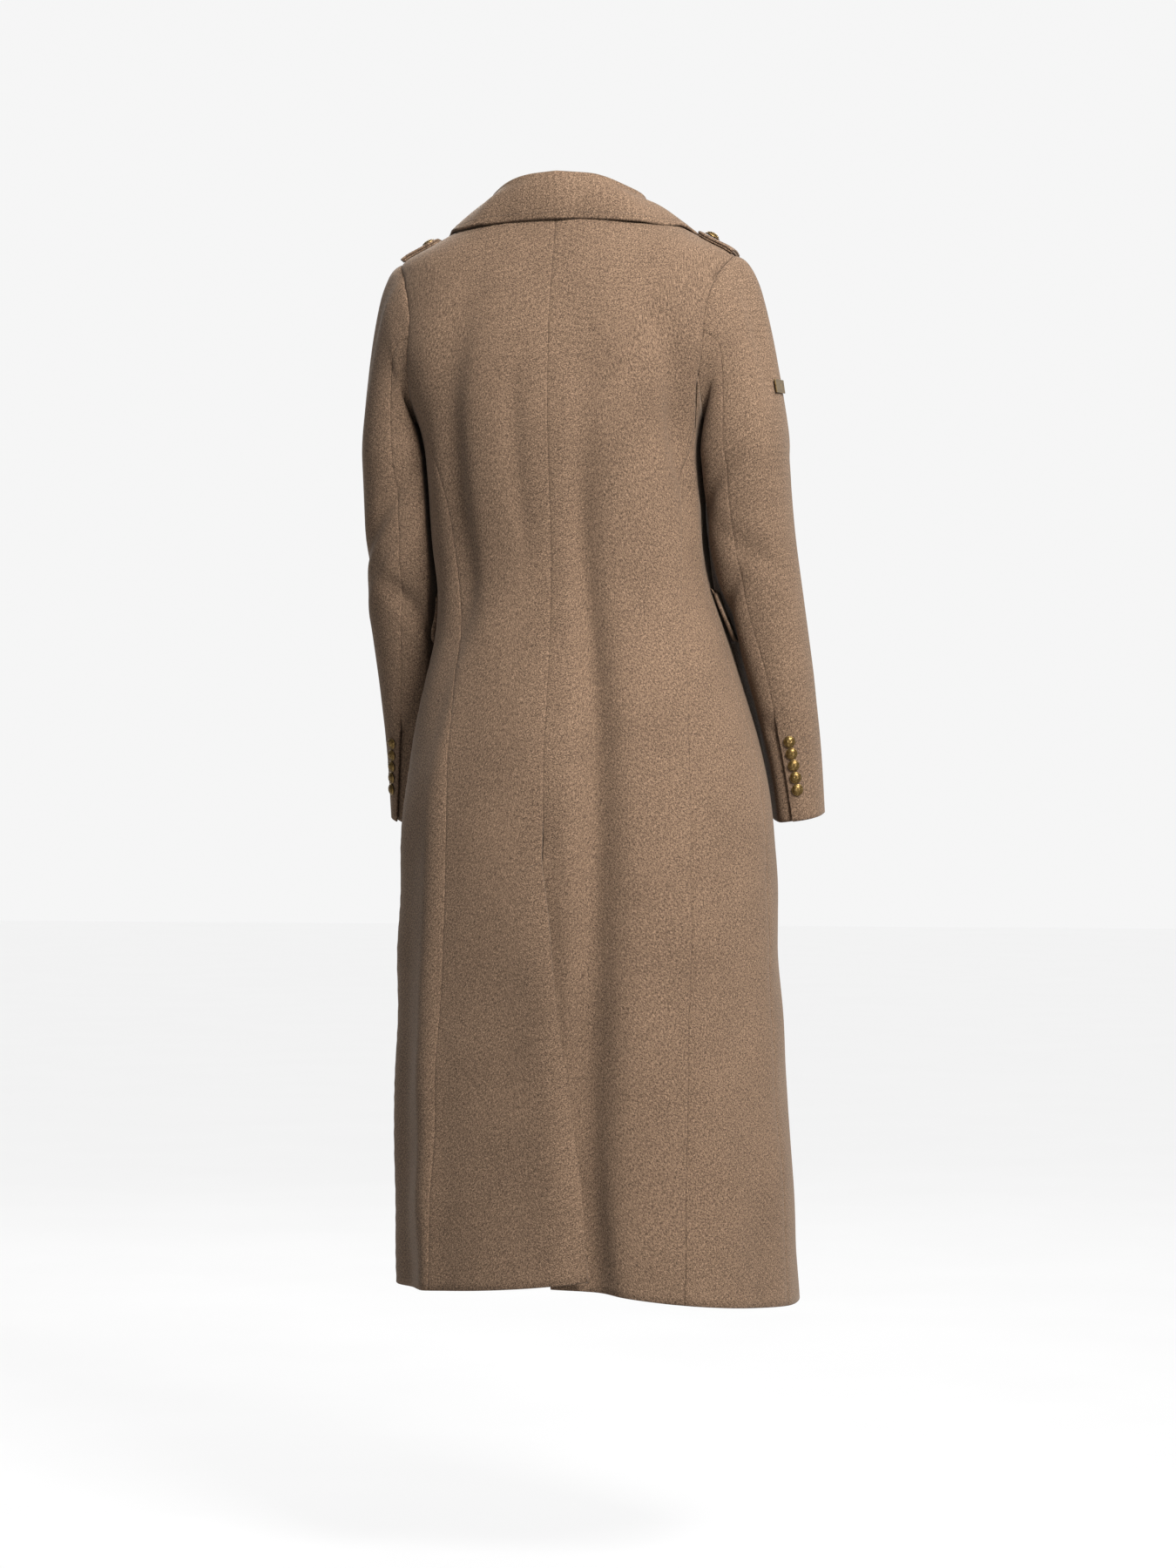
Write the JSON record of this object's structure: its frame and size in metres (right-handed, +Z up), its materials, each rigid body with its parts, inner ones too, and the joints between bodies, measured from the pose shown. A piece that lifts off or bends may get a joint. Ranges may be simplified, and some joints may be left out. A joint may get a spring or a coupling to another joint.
{
  "type": "double-breasted overcoat",
  "caption": "Long double-breasted wool overcoat in its worn form, with a wide collar, shoulder straps, centre vent and domed metal buttons.",
  "frame": {"origin": "between the shoulders at the height of the neck seam, where the wearer's shoulders carry the coat", "axes": "+Z up the coat from hem to collar, +X towards the wearer's left, the front faces -Y"},
  "size_m": [0.5197, 0.3588, 1.2569],
  "materials": {
    "wool": "brushed twill, melange, matt",
    "brass": "antiqued, low polish"
  },
  "bodies": {
    "root": {"back_left": "wool", "back_right": "wool", "side_left": "wool", "side_right": "wool", "front_left": "wool", "front_right": "wool", "lapel_left": "wool", "lapel_right": "wool", "collar": "wool", "sleeve_top_left": "wool", "sleeve_top_right": "wool", "sleeve_under_left": "wool", "sleeve_under_right": "wool", "flap_left": "wool", "flap_right": "wool", "strap_left": "wool", "strap_right": "wool", "strap_button_left": "brass", "strap_button_right": "brass", "sleeve_plate": "brass", "front_button_1": "brass", "front_button_2": "brass", "front_button_3": "brass", "front_button_4": "brass", "front_button_5": "brass", "front_button_6": "brass", "cuff_button_left_1": "brass", "cuff_button_left_2": "brass", "cuff_button_left_3": "brass", "cuff_button_left_4": "brass", "cuff_button_left_5": "brass", "cuff_button_right_1": "brass", "cuff_button_right_2": "brass", "cuff_button_right_3": "brass", "cuff_button_right_4": "brass", "cuff_button_right_5": "brass"}
  },
  "joints": []
}
